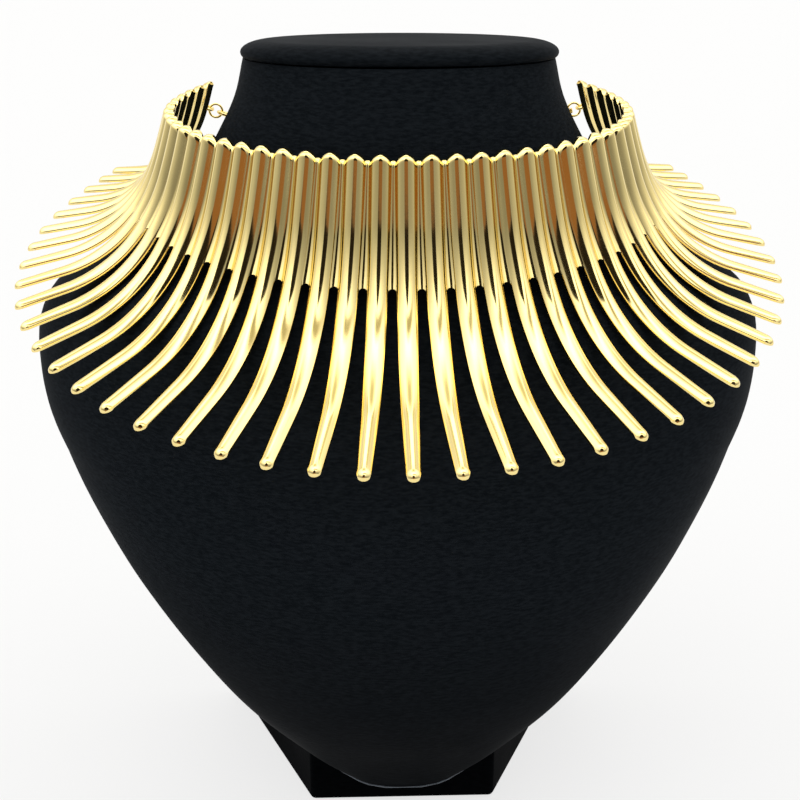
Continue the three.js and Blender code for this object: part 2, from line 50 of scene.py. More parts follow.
# Collar
RIB_COUNT = 43
RIB_PITCH = 7.0
RIB_WIDTH = 5.7
RIB_HEIGHT = 1.6
SHEET = 0.9
SPIKE_LENGTH = 100.0
BAND_DEPTH = 37.0
TIP_WIDTH = 3.8
SPIKE_FULLNESS = 1.7  # a spike's width is lost with this power of the share down it
TIP_HEIGHT = 1.25
TIP_LENGTH = 2.8  # of the rounded end of a spike
TIP_POWER = 2.3  # of the rounded end's outline, 2 is an ellipse
TIP_TURN = 86.0  # degrees of the rounded end that are drawn before it is closed
RIM_SCALLOP = 1.9
RIM_RISE = 10.36  # of the collar's highest point above the rim's front, on the solid
RIM_CREST = 0.1  # share of a bead's height that its domed top starts with
RIM_CURL = 1.5  # how far the rim's edge turns in at the front
RIM_FOLLOW = 0.6  # share of the curl that the back of the sheet follows
CURL_FALL = 0.75  # share of the curl that is lost at the end ribs
BACK_FALL = 0.7  # by which the rim's outer edge is the lower at the end ribs
BACK_FALL_POWER = 4
DOME_LENGTH = 1.9
PLAN_TURN = (1.77, 1.07, -0.9)
PROFILE_SLOPES = (16, 19, 34, 54, 75, 75)
END_SWEEP = 9.0
RIB_FALL = (0.65, 0.26)
BAND_FALL = 0.31
COLLAR_TILT = 5.8
COLLAR_FORWARD = 58.0  # of the rim's front ahead of the neck's axis
END_RIB = (RIB_COUNT - 1) // 2
BEAD_POWER = 2.0  # of a bead's section, 2 is a parabola
CHANNEL_POWER = 3.4  # of the section of the hollow behind it
CHANNEL_FOOT = 0.95  # half width of that hollow in the band, as a share of the bead's
CHANNEL_END = 0.75  # share of the band where the hollow starts to turn into the spike's
WEB_DEPTH = 0.45  # of the groove between two beads
WEB_RIDGE = 0.3  # of the rounded back of that groove
WALK_STEP = 0.05  # in ribs, between two points of the rim's path
WALK_MARGIN = 2  # ribs that the path runs on past the last one
PROFILE_STEPS = 48  # of the walk down a rib
OUTER_STEPS = 16  # facets across a bead's face
INNER_STEPS = 10
WEB_STEPS = 6
DOME_ROWS = 8
BAND_ROWS = 16
BAND_SHARES = (0.012, *(n / BAND_ROWS for n in range(1, BAND_ROWS + 1)))  # of each row
SLOT_ROW = DOME_ROWS + len(BAND_SHARES)  # the row where the slots begin
SPIKE_ROWS = 26
TIP_ROWS = 8

# Findings
EYE_RADIUS = 1.5
EYE_WIRE = 1.0
EYE_DROP = 11.0
EYE_OVERLAP = 0.3  # of the eye's wire with the edge of the end rib
RING_RADIUS = 2.3
RING_WIRE = 0.8
LINK_LENGTH = 8.1
LINK_WIDTH = 5.4
LINK_WIRE = 1.2
LINK_COUNT = 20
LINK_BITE = 0.2  # how far two links reach into each other
FIT_GAP = 0.3  # between a jump ring and the link in it
RING_HOLE = RING_RADIUS - RING_WIRE / 2
LINK_HOLE = LINK_LENGTH / 2 - LINK_WIRE
LINK_STEP = LINK_LENGTH - 2 * LINK_WIRE + LINK_BITE
RING_FACETS = (40, 14)  # around a ring and around its wire
LINK_FACETS = (32, 12)
CHAIN_POINTS = 801

# Bust
BUST_HEIGHT = 262.0
BUST_WIDTH = 244.0
NECK_WIDTH = 99.0
NECK_DEPTH = 86.0
CHEST_REACH = 91.0
SHOULDER_LINE = 8.0
BACK_POWER = 2 / 3  # of the outline behind the widest line, 1 is an ellipse
LIP_Y = -45.0
LIP_Z = 17.0
LIP_SLOPE = 2.23
CAP_UNDER = 1.8  # radius of the cap's lower edge
CAP_EDGE = 9.0  # how far its upper edge curves in
CAP_ROWS = (8, 14)  # of the lower and the upper edge
FOOT_FRONT = -30.0
FOOT_DEPTH = 72.0
FOOT_HEIGHT = 165.0
FOOT_FRONT_WIDTH = 65.0
FOOT_BACK_WIDTH = 132.0
FOOT_GAP = 0.4
FOOT_ROUNDING = 1.6
ROUNDING_STEPS = 4
PIPING = 0.36  # radius of the thin cord sewn along the torso's lip, coloured light grey as a painted edge highlight
PIPING_STANDOFF = 0.3  # of the cord's middle, out from the lip
PIPING_SIDES = 10

# height as a share of BUST_HEIGHT, half width as a share of BUST_WIDTH's half, front as a
# share of CHEST_REACH
CHEST_SECTIONS = (
    (0.065, 0.05, 0.5), (0.069, 0.1, 0.505), (0.077, 0.14, 0.52), (0.099, 0.225, 0.56),
    (0.128, 0.31, 0.615), (0.184, 0.452, 0.72), (0.258, 0.592, 0.835), (0.356, 0.748, 0.945),
    (0.413, 0.825, 0.985), (0.494, 0.92, 1.0), (0.56, 0.975, 0.975), (0.63, 0.99, 0.925),
    (0.68, 0.972, 0.85), (0.71, 0.926, 0.785), (0.735, 0.835, 0.73), (0.76, 0.739, 0.69),
    (0.785, 0.663, 0.66),
)
# the same, with the halves of NECK_WIDTH and NECK_DEPTH
NECK_SECTIONS = (
    (0.815, 1.46, 1.32), (0.85, 1.31, 1.24), (0.89, 1.18, 1.15), (0.935, 1.06, 1.05),
    (0.978, 1.0, 1.0),
)
TORSO_SIDES = 160
TORSO_ROWS = 120
TORSO_ROW_POWER = 1.15  # crowds the rows toward the lower end

# Materials
GOLD_DEEP = (0.95, 0.75, 0.3, 1)
GOLD_PALE = (0.97, 0.79, 0.35, 1)
GOLD_ROUGHNESS = (0.07, 0.13)
LEATHER_DARK = (0.0025, 0.0034, 0.0044, 1)
LEATHER_LIGHT = (0.0056, 0.0071, 0.0088, 1)
LEATHER_ROUGHNESS = (0.5, 0.66)
PAINTED_SHADE_HEIGHTS = (0.02, 0.13)  # metres above the table between which the painted shade lifts and the colour brightens
PAINTED_SHADE_TONES = (0.45, 1.25)  # share of the colour at those two heights, the depth of the painted shade
GRAIN_SCALE = (420, 420, 1500)  # finer upward, so the grain lies level
GRAIN_DEPTH = 0.00016  # metres

# Surroundings
FLOOR_SIZE = 120
FLOOR_SHADE = (0.19, 0.19, 0.19, 1)
FLOOR_GLOW = 0.71
BACKDROP = (0.962, 0.962, 0.962, 1)  # the plain wall that is seen behind the part
BRIGHTEST = 3.2  # strength of the brightest part of the studio's light
# Strength of the light by degrees up, at the sides and at the back.
SIDE_LEVELS = {-5: 0.38, 8: 0.43, 16: 0.68, 24: 1.15, 35: 1.85, 50: 2.5, 58: 3.0, 80: 3.2}
BACK_LEVELS = {-5: 0.96, 20: 0.96, 34: 0.85, 46: 1.4, 60: 2.6, 80: 3.2}
SIDE_TO_BACK = (100, 130)  # degrees from the front between which the one becomes the other
# degrees from the front between which the low light of the sides grows, and its two shares
LOW_SHADING = (25, 120, 0.62, 1.5)
LOW_HEIGHTS = (22, 40)  # degrees up between which that shading fades
# degrees up the front between which the dark area there narrows, and its two half widths
FIGURE_HALF = (33, 48, 23, 4)
BROWN = (0.3, 0.14, 0.06)
BLACK = (0.016, 0.013, 0.01)
KHAKI = (0.85, 0.82, 0.64)
DUSK = (0.56, 0.52, 0.4)
# Areas of the studio's light, one over the other: a shade, and for each angle the degrees
# where the area starts and where it is full.
AREAS = (
    (KHAKI, ("across", 52, 6), ("over", 66, 94), ("over", 118, 100)),
    (KHAKI, ("across", 15, 21), ("across", 42, 34), ("over", 112, 114), ("over", 135, 120)),
    (DUSK, ("aside", -34, 2), ("aside", 76, 34), ("over", 47, 53), ("over", 67, 57)),
    (BROWN, ("beside", 1, -5), ("over", 16, 13)),
    (BLACK, ("beside", 3, -3), ("over", 13, 15.5), ("over", 47, 43)),
)

# Camera, in the row's frame
CAMERA_PLACE = (-11.6, -362.2, 284.0)
CAMERA_DOWN = 0.3488  # radians below the level
CAMERA_TURN = 0.03  # radians toward +X
FOCAL_PIXELS = 1200.0
FRAME_PIXELS = 800.0
SENSOR = 36.0
NEAREST = 0.01  # metres

low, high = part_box("bust_neck_cap")
NECK_AXIS = Vector((0, (low[1] + high[1]) / 2 / MM, 0))


def new_object(name, points, faces, material, smooth_angle=40):
    mesh = bpy.data.meshes.new(name)
    mesh.from_pydata([tuple(c * MM for c in p) for p in points], [], faces)
    mesh.polygons.foreach_set("use_smooth", [True] * len(mesh.polygons))
    mesh.set_sharp_from_angle(angle=math.radians(smooth_angle))
    mesh.materials.append(material)
    obj = bpy.data.objects.new(name, mesh)
    bpy.context.scene.collection.objects.link(obj)
    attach(obj, "root")
    return obj


class Surface:
    """Collects vertices and faces."""

    def __init__(self):
        self.points = []
        self.faces = []

    def row(self, points):
        first = len(self.points)
        self.points.extend(np.asarray(points).tolist())
        return list(range(first, len(self.points)))

    def quads(self, a, b):
        """Faces between two rows of the same length. Seen from outside, a lies above b."""
        for n in range(len(a) - 1):
            self.faces.append((a[n], b[n], b[n + 1], a[n + 1]))

    def stitch(self, a, b):
        """Faces between two rows that may differ in length."""
        i = j = 0
        while i < len(a) - 1 or j < len(b) - 1:
            behind = (j + 1) * (len(a) - 1) <= (i + 1) * (len(b) - 1)
            if i == len(a) - 1 or (j < len(b) - 1 and behind):
                self.faces.append((a[i], b[j], b[j + 1]))
                j += 1
            else:
                self.faces.append((a[i], b[j], a[i + 1]))
                i += 1

    def tube(self, rings):
        """Faces between closed rings. Seen from the first, they run counterclockwise."""
        for a, b in zip(rings, rings[1:]):
            self.quads(a + a[:1], b + b[:1])

    def stack(self, rings):
        """A closed body of level rings from the lowest up, counterclockwise from above."""
        for a, b in zip(rings, rings[1:]):
            self.quads(b + b[:1], a + a[:1])
        self.faces.append(tuple(reversed(rings[0])))
        self.faces.append(tuple(rings[-1]))


# Materials

class Nodes:
    """Adds nodes to a material or world and links them."""

    def __init__(self, owner):
        owner.use_nodes = True
        self.tree = owner.node_tree
        self.tree.nodes.clear()

    def add(self, kind, inputs=(), **settings):
        node = self.tree.nodes.new("ShaderNode" + kind)
        for name, value in settings.items():
            setattr(node, name, value)
        for name, value in dict(inputs).items():
            self.set(node, name, value)
        return node

    def set(self, node, name, value):
        if isinstance(value, bpy.types.NodeSocket):
            self.tree.links.new(value, node.inputs[name])
        else:
            node.inputs[name].default_value = value

    def math(self, operation, *values):
        return self.add("Math", dict(enumerate(values)), operation=operation).outputs[0]

    def range(self, value, start, end, low=0.0, high=1.0):
        """Maps value smoothly from start..end to low..high."""
        return self.add("MapRange", {"Value": value, "From Min": start, "From Max": end,
                                     "To Min": low, "To Max": high},
                        interpolation_type="SMOOTHSTEP").outputs["Result"]

    def ramp(self, degrees, levels):
        """Grey levels, as shares of the brightest, at angles from -90 to 90 degrees."""
        place = self.add("MapRange", {"Value": degrees, "From Min": -90.0, "From Max": 90.0})
        node = self.add("ValToRGB", {"Fac": place.outputs["Result"]})
        stops = node.color_ramp.elements
        for n, (angle, level) in enumerate(levels.items()):
            stop = stops[n] if n < 2 else stops.new(1.0)
            stop.position = (angle + 90) / 180
            stop.color = (*[level / BRIGHTEST] * 3, 1)
        return node.outputs["Color"]

    def mix(self, factor, a, b):
        """Mixes two colours. They are the node's sockets 6 and 7."""
        node = self.add("Mix", {0: factor}, data_type="RGBA")
        self.set(node, 6, a)
        self.set(node, 7, b)
        return node.outputs[2]

    def scale(self, colour, share):
        node = self.add("VectorMath", {0: colour, "Scale": share}, operation="SCALE")
        return node.outputs[0]

    def noise(self, place, scale, **inputs):
        inputs = {"Vector": place, "Scale": scale, **inputs}
        return self.add("TexNoise", inputs).outputs["Fac"]

    def output(self, kind, shader):
        self.add(kind, {"Surface": shader.outputs[0]})


def gold_material():
    material = bpy.data.materials.new("polished_gold")
    n = Nodes(material)
    place = n.add("TexCoord").outputs["Object"]
    cloud = n.noise(place, 60.0, Detail=3.0)
    fine = n.noise(place, 900.0, Detail=2.0)
    bump = n.add("Bump", {"Height": fine, "Strength": 0.03, "Distance": 0.0001})
    shader = n.add("BsdfPrincipled", {
        "Base Color": n.mix(cloud, GOLD_DEEP, GOLD_PALE), "Metallic": 1.0,
        "Roughness": n.range(cloud, 0.3, 0.75, *GOLD_ROUGHNESS), "Normal": bump.outputs[0]})
    n.output("OutputMaterial", shader)
    return material


def leatherette_material(name, shade, gloss):
    """Grained black cloth with painted shade: darker toward the table, lighter higher up, as if
    lit from above.
    """
    material = bpy.data.materials.new(name)
    n = Nodes(material)
    place = n.add("TexCoord").outputs["Object"]
    stretched = n.add("Mapping", {"Vector": place, "Scale": GRAIN_SCALE}).outputs[0]
    grain = n.noise(stretched, 1.0, Detail=3.0, Roughness=0.6)
    pebble = n.add("TexVoronoi", {"Vector": stretched, "Scale": 0.8}).outputs["Distance"]
    cloud = n.noise(place, 14.0, Detail=3.0)
    height = n.add("SeparateXYZ", {0: place}).outputs[2]
    # painted shade: the cloth's colour is darkened toward the table, as if lit from above
    painted_shade_by_height = n.range(height, *PAINTED_SHADE_HEIGHTS, *(share * shade for share in PAINTED_SHADE_TONES))
    colour = n.mix(n.range(grain, 0.3, 0.7), LEATHER_DARK, LEATHER_LIGHT)
    relief = n.math("ADD", grain, n.math("MULTIPLY", pebble, 0.5))
    bump = n.add("Bump", {"Height": relief, "Strength": 0.35, "Distance": GRAIN_DEPTH})
    shader = n.add("BsdfPrincipled", {
        "Base Color": n.scale(colour, painted_shade_by_height), "Specular IOR Level": gloss,
        "Roughness": n.range(cloud, 0.3, 0.7, *LEATHER_ROUGHNESS), "Normal": bump.outputs[0]})
    n.output("OutputMaterial", shader)
    return material


# Shape of the collar: the same rules as the solid's, sampled finely. A place on it is a rib
# number s, a distance t down from the rim, a distance to the side and a height off the sheet.

def heading(s):
    """Direction of the rim at the rib s, in radians from the front."""
    k = s / END_RIB
    return k * (PLAN_TURN[0] + PLAN_TURN[1] * k ** 2 + PLAN_TURN[2] * k ** 4)


def rim_path():
    """The rim's plan from the front rib outward, a point every WALK_STEP."""
    steps = np.arange(int((END_RIB + WALK_MARGIN) / WALK_STEP))
    turns = heading((steps + 0.5) * WALK_STEP)
    stride = WALK_STEP * RIB_PITCH
    return (np.concatenate([[0], np.cumsum(stride * np.cos(turns))]),
            np.concatenate([[0], np.cumsum(stride * np.sin(turns))]))


rim_x, rim_y = rim_path()


def rib_length(s):
    k2 = (s / END_RIB) ** 2
    return SPIKE_LENGTH * (1 - RIB_FALL[0] * k2 + RIB_FALL[1] * k2 ** 2)


def band_depth(s):
    return BAND_DEPTH * (1 - BAND_FALL * (s / END_RIB) ** 2)


def slope_at(share, s):
    places = np.linspace(0, 1, len(PROFILE_SLOPES))
    slope = np.interp(share, places, PROFILE_SLOPES)
    return np.radians(slope + END_SWEEP * share * (s / END_RIB) ** 2)


def profile(s, t):
    """Outward and downward travel at the distance t down the rib at s."""
    length = rib_length(s)
    step = t / PROFILE_STEPS
    out = down = 0
    for n in range(PROFILE_STEPS):
        slope = slope_at((n + 0.5) / PROFILE_STEPS * t / length, s)
        out = out + step * np.sin(slope)
        down = down + step * np.cos(slope)
    return out, down


def broadcast(*values):
    """The values as arrays of one shape."""
    return np.broadcast_arrays(*(np.asarray(v, float) for v in values))


def sheet_point(s, t, side, height):
    """A place on the sheet, with the side measured straight across the rib."""
    s, t, side, height = broadcast(s, t, side, height)
    out, down = profile(s, t)
    slope = slope_at(t / rib_length(s), s)
    turn = heading(s)
    place = np.abs(s) / WALK_STEP
    steps = np.arange(len(rim_x))
    reach = out + height * np.cos(slope)
    x = np.sign(s) * np.interp(place, steps, rim_x) + np.sin(turn) * reach + np.cos(turn) * side
    y = np.interp(place, steps, rim_y) - np.cos(turn) * reach + np.sin(turn) * side
    return np.stack([x, y, height * np.sin(slope) - down], -1)


def pitch_at(s, t):
    """Distance between two ribs' middles at the distance t down."""
    return RIB_PITCH + profile(s, t)[0] * (heading(s + 0.5) - heading(s - 0.5))


def band_point(s, t, side, height):
    """Like sheet_point, with the side followed along the curved band."""
    s, t, side, height = broadcast(s, t, side, height)
    return sheet_point(s + side / pitch_at(s, t), t, 0, height)


def rim_curl(s):
    return RIM_CURL * (1 - CURL_FALL * (s / END_RIB) ** 2)


def slot_radius(s):
    return (pitch_at(s, band_depth(s)) - RIB_WIDTH) / 2


def bead_section(steps, half, crest, foot, base, power=BEAD_POWER):
    """Sides and heights across a bead."""
    across = np.cos(np.linspace(math.pi, 0, steps + 1))
    rise = 1 - np.abs(across) ** power
    return foot * half * across, base + crest * rise


def band_levels():
    """Rows from the rim to the slot: drop below the rim, share of the band, rise of the dome."""
    turns = np.linspace(0, math.pi / 2, DOME_ROWS + 1)
    return ([(DOME_LENGTH * (1 - math.cos(a)), 0, math.sin(a)) for a in turns]
            + [(DOME_LENGTH, share, 1) for share in BAND_SHARES])


def outer_row(rib, drop, share, rise):
    """A row across a bead's face."""
    half = RIB_WIDTH / 2
    crest = RIB_HEIGHT * (RIM_CREST + (1 - RIM_CREST) * rise)
    base = -rim_curl(rib) * (1 - rise)
    side, height = bead_section(OUTER_STEPS, half, crest, 1, base)
    start = RIM_SCALLOP * (side / half) ** 2 + drop
    start = start + BACK_FALL * (rib / END_RIB) ** BACK_FALL_POWER * (1 - share)
    end = band_depth(rib) + slot_radius(rib)
    return band_point(rib, start + share * (end - start), side, height)


def inner_row(rib, drop, share, rise):
    """A row across the hollow behind a bead."""
    half = RIB_WIDTH / 2
    late = max(0, (share - CHANNEL_END) / (1 - CHANNEL_END))
    foot = CHANNEL_FOOT + (1 - CHANNEL_FOOT) * late
    power = CHANNEL_POWER + (BEAD_POWER - CHANNEL_POWER) * late
    crest = RIB_HEIGHT * (RIM_CREST + (1 - RIM_CREST) * rise)
    base = -SHEET - rim_curl(rib) * (1 - rise) * RIM_FOLLOW
    side, height = bead_section(INNER_STEPS, half, crest, foot, base, power)
    start = RIM_SCALLOP * (side / half) ** 2 + drop
    end = band_depth(rib) + slot_radius(rib)
    return band_point(rib, start + share * (end - start), side, height)


def spike_rows(rib):
    """Rows from the slot to the rounded tip: outer and inner points."""
    start = band_depth(rib) + slot_radius(rib)
    length = float(rib_length(rib))
    tip = TIP_WIDTH / 2
    levels = []
    for n in range(1, SPIKE_ROWS + 1):
        share = n / SPIKE_ROWS
        levels.append((start + share * (length - TIP_LENGTH - start),
                       RIB_WIDTH / 2 + share ** SPIKE_FULLNESS * (tip - RIB_WIDTH / 2),
                       RIB_HEIGHT + share * (TIP_HEIGHT - RIB_HEIGHT), 1))
    for angle in np.linspace(0, math.radians(TIP_TURN), TIP_ROWS + 1)[1:]:
        reach = math.sin(angle)
        levels.append((length - TIP_LENGTH * (1 - reach), tip * (1 - reach ** TIP_POWER) ** 0.5,
                       TIP_HEIGHT, math.cos(angle)))
    outer, inner = [], []
    for t, half, crest, keep in levels:
        side, height = bead_section(OUTER_STEPS, half, crest, 1, 0)
        outer.append(sheet_point(rib, t, side, (height + SHEET) * keep - SHEET))
        side, height = bead_section(INNER_STEPS, half, crest, 1, 0)
        inner.append(sheet_point(rib, t, side, height * keep - SHEET))
    return outer, inner


def build_rib(surface, rib):
    """A rib from its dome to its tip. Returns its rows of vertices, outer and inner."""
    spike = spike_rows(rib)
    outer = [surface.row(outer_row(rib, *level)) for level in band_levels()]
    outer += [surface.row(row) for row in spike[0]]
    inner = [surface.row(inner_row(rib, *level)) for level in band_levels()]
    inner += [surface.row(row) for row in spike[1]]
    for a, b in zip(outer, outer[1:]):
        surface.quads(a, b)
    for a, b in zip(inner, inner[1:]):
        surface.quads(b, a)
    surface.stitch(inner[0], outer[0])
    surface.stitch(outer[-1], inner[-1])
    surface.quads([row[0] for row in outer[SLOT_ROW:]], [row[0] for row in inner[SLOT_ROW:]])
    surface.quads([row[-1] for row in inner[SLOT_ROW:]], [row[-1] for row in outer[SLOT_ROW:]])
    return outer, inner


def build_web(surface, s, left, right):
    """The groove between two ribs, down to the round top of the slot."""
    radius = float(slot_radius(s))
    across = np.sin(np.linspace(-math.pi / 2, math.pi / 2, WEB_STEPS + 1))[1:-1]
    end = band_depth(s) + radius * (1 - np.sqrt(1 - across ** 2))
    faces = []
    for which in (0, 1):
        rows = []
        for n, (drop, share, rise) in enumerate(band_levels()):
            start = RIM_SCALLOP + drop
            t = start + share * (end - start)
            width = (pitch_at(s, t) - RIB_WIDTH) / 2
            groove = -WEB_DEPTH * (1 - across ** 2) * rise
            ridge = -SHEET - WEB_RIDGE * (1 - across ** 2) * rise
            curl = rim_curl(s) * (1 - rise)
            base = ridge - curl * RIM_FOLLOW if which else groove - curl
            middle = surface.row(band_point(s, t, across * width, base))
            rows.append([left[which][n][-1], *middle, right[which][n][0]])
        faces.append(rows)
        for a, b in zip(rows, rows[1:]):
            surface.quads(*((a, b) if which == 0 else (b, a)))
    surface.quads(faces[1][0], faces[0][0])
    surface.quads(faces[0][-1], faces[1][-1])


def torus(surface, matrix, radius, wire, facets, stretch=0.0):
    """A wire ring in its own XY plane, drawn out along X by the stretch."""
    around, sides = facets
    rings = []
    for n in range(around):
        turn = 2 * math.pi * (n + 0.5) / around
        radial = Vector((math.cos(turn), math.sin(turn), 0))
        centre = radial * radius + Vector((math.copysign(stretch, radial.x), 0, 0))
        ring = []
        for m in range(sides):
            a = 2 * math.pi * m / sides
            offset = radial * (wire / 2 * math.cos(a)) + Vector((0, 0, wire / 2 * math.sin(a)))
            ring.append(matrix @ (centre + offset))
        rings.append(surface.row(ring))
    surface.tube(rings + rings[:1])


def eye_place(sign):
    """Where the soldered eye stands, upright beside the end rib of that side."""
    side = RIB_WIDTH / 2 + EYE_RADIUS + EYE_WIRE / 2 - EYE_OVERLAP
    s = sign * END_RIB
    centre = sheet_point(s, EYE_DROP, sign * side, -SHEET / 2)
    slope = float(slope_at(EYE_DROP / rib_length(s), s))
    turn = Matrix.Rotation(heading(s) - math.pi / 2, 4, "Z") @ Matrix.Rotation(-slope, 4, "Y")
    return Matrix.Translation(centre.tolist()) @ turn


def build_collar(gold):
    surface = Surface()
    ribs = [build_rib(surface, rib) for rib in range(-END_RIB, END_RIB + 1)]
    for n in range(len(ribs) - 1):
        build_web(surface, n - END_RIB + 0.5, ribs[n], ribs[n + 1])
    band = slice(SLOT_ROW + 1)
    first, last = ribs[0], ribs[-1]
    surface.quads([r[0] for r in first[0][band]], [r[0] for r in first[1][band]])
    surface.quads([r[-1] for r in last[1][band]], [r[-1] for r in last[0][band]])
    for sign in (-1, 1):
        torus(surface, eye_place(sign), EYE_RADIUS, EYE_WIRE, RING_FACETS)
    tilt = np.array(Matrix.Rotation(math.radians(COLLAR_TILT), 3, "X"))
    points = np.array(surface.points) @ tilt.T
    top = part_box("collar")[1][2] / MM
    points += [0, NECK_AXIS.y - COLLAR_FORWARD, top - RIM_RISE]
    obj = new_object("spike_collar", points.tolist(), surface.faces, gold,
                     smooth_angle=50)
    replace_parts(obj, "collar")


# Findings behind the neck

def node_centre(name):
    low, high = (Vector(corner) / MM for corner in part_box(name))
    return (low + high) / 2


def build_ring(node, gold):
    surface = Surface()
    upright = Matrix.Translation(node_centre(node)) @ Matrix.Rotation(math.pi / 2, 4, "X")
    torus(surface, upright, RING_RADIUS, RING_WIRE, RING_FACETS)
    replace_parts(new_object(node + "_wire", surface.points, surface.faces, gold), node)


def chain_curve():
    """Dense points of the run between the two ring centres, a shallow parabola."""
    left, right = node_centre("jump_ring_left"), node_centre("jump_ring_right")
    low = Vector(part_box("chain")[0]) / MM
    bottom = low.z + LINK_WIDTH / 2
    shares = np.linspace(-1, 1, CHAIN_POINTS)
    return [Vector((s * right.x, left.y, left.z - (left.z - bottom) * (1 - s * s)))
            for s in shares]


def walk(points, distance):
    """Frame at a distance along the points: X along them, Y back."""
    for a, b in zip(points, points[1:]):
        step = (b - a).length
        if distance <= step:
            along = (b - a).normalized()
            back = Vector((0, 1, 0))
            basis = Matrix((along, back, along.cross(back))).transposed().to_4x4()
            return Matrix.Translation(a + along * distance) @ basis
        distance -= step
    return Matrix.Translation(points[-1])


def build_chain(gold):
    surface = Surface()
    points = chain_curve()
    first = RING_HOLE + LINK_HOLE - FIT_GAP
    for n in range(LINK_COUNT):
        place = walk(points, first + n * LINK_STEP)
        if n % 2 == 1:
            place = place @ Matrix.Rotation(math.pi / 2, 4, "X")
        torus(surface, place, (LINK_WIDTH - LINK_WIRE) / 2, LINK_WIRE, LINK_FACETS,
              (LINK_LENGTH - LINK_WIDTH) / 2)
    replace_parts(new_object("chain_links", surface.points, surface.faces, gold), "chain")


# Bust

def hermite(x, xs, ys):
    """Monotone cubic through the table's points."""
    steps = np.diff(xs)
    slopes = np.diff(ys) / steps
    tangents = np.concatenate([[slopes[0]], (slopes[1:] + slopes[:-1]) / 2, [slopes[-1]]])
    for n, slope in enumerate(slopes):
        limit = 3 * abs(slope)
        for m in (n, n + 1):
            same_way = slope * tangents[m] > 0
            tangents[m] = np.clip(tangents[m], -limit, limit) if same_way else 0
    n = int(np.clip(np.searchsorted(xs, x) - 1, 0, len(slopes) - 1))
    u = (x - xs[n]) / steps[n]
    return ((2 * u ** 3 - 3 * u ** 2 + 1) * ys[n]
            + (u ** 3 - 2 * u ** 2 + u) * steps[n] * tangents[n]
            + (3 * u ** 2 - 2 * u ** 3) * ys[n + 1]
            + (u ** 3 - u ** 2) * steps[n] * tangents[n + 1])


def torso_rows():
    """Smoothly interpolated sections: z, half width, front, back and widest line."""
    table = [(h * BUST_HEIGHT, a * BUST_WIDTH / 2, f * CHEST_REACH) for h, a, f in CHEST_SECTIONS]
    table += [(h * BUST_HEIGHT, a * NECK_WIDTH / 2, f * NECK_DEPTH / 2)
              for h, a, f in NECK_SECTIONS]
    z, half, front = (np.array(column) for column in zip(*table))
    rows = []
    for share in np.linspace(0, 1, TORSO_ROWS + 1) ** TORSO_ROW_POWER:
        level = z[0] + (z[-1] - z[0]) * share
        back = min(NECK_DEPTH / 2, LIP_Y + (level - LIP_Z) / LIP_SLOPE)
        rows.append((level, hermite(level, z, half), hermite(level, z, front), back,
                     min(back, SHOULDER_LINE)))
    return rows


def section_point(row, turn):
    """A point of a level section. Behind the widest line it is squarer than an ellipse."""
    z, half, front, back, widest = row
    across, deep = math.cos(turn), abs(math.sin(turn))
    if math.sin(turn) >= 0:
        across = math.copysign(abs(across) ** BACK_POWER, across)
        return (half * across, widest + (back - widest) * deep ** BACK_POWER + NECK_AXIS.y, z)
    return (half * across, widest - (front + widest) * deep + NECK_AXIS.y, z)


def torso_turns():
    return [2 * math.pi * n / TORSO_SIDES for n in range(TORSO_SIDES)]


def build_torso(material):
    surface = Surface()
    surface.stack([surface.row([section_point(row, turn) for turn in torso_turns()])
                   for row in torso_rows()])
    obj = new_object("torso_cover", surface.points, surface.faces, material,
                     smooth_angle=55)
    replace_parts(obj, "bust_torso")


def build_highlight_piping(material):
    """The cord along the lip, from one shoulder down to the bottom and up to the other. Its light
    grey is a painted edge highlight.
    """
    edge = [(half, widest + NECK_AXIS.y, z) for z, half, _, back, widest in torso_rows()
            if back <= SHOULDER_LINE]
    path = [Vector((-x, y, z)) for x, y, z in reversed(edge)] + [Vector(p) for p in edge]
    turns = [2 * math.pi * m / PIPING_SIDES for m in range(PIPING_SIDES)]
    surface = Surface()
    rings = []
    for n, point in enumerate(path):
        along = (path[min(n + 1, len(path) - 1)] - path[max(n - 1, 0)]).normalized()
        side = along.cross(Vector((0, 1, 0))).normalized()
        up = side.cross(along)
        centre = point - PIPING_STANDOFF * side
        rings.append(surface.row([
            tuple(centre + PIPING * (math.cos(a) * side + math.sin(a) * up)) for a in turns]))
    surface.tube(rings)
    surface.faces += [tuple(rings[0]), tuple(reversed(rings[-1]))]
    new_object("lip_piping_painted_highlight", surface.points, surface.faces, material,
               smooth_angle=60)


def build_cap(material):
    """A flat cushion with a full upper edge and a lower edge that turns under to the neck."""
    low, high = (Vector(corner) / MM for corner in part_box("bust_neck_cap"))
    middle, half = (low + high) / 2, (high - low) / 2
    upper = high.z - low.z - CAP_UNDER
    levels = [(low.z + CAP_UNDER * (1 - math.cos(a)), CAP_UNDER * (1 - math.sin(a)))
              for a in np.linspace(0, math.pi / 2, CAP_ROWS[0] + 1)]
    levels += [(high.z - upper * (1 - math.sin(a)), CAP_EDGE * (1 - math.cos(a)))
               for a in np.linspace(0, math.pi / 2, CAP_ROWS[1] + 1)[1:]]
    surface = Surface()
    surface.stack([surface.row([(middle.x + (half.x - inset) * math.cos(a),
                                 middle.y + (half.y - inset) * math.sin(a), z)
                                for a in torso_turns()]) for z, inset in levels])
    obj = new_object("cap_cover", surface.points, surface.faces, material,
                     smooth_angle=55)
    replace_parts(obj, "bust_neck_cap")


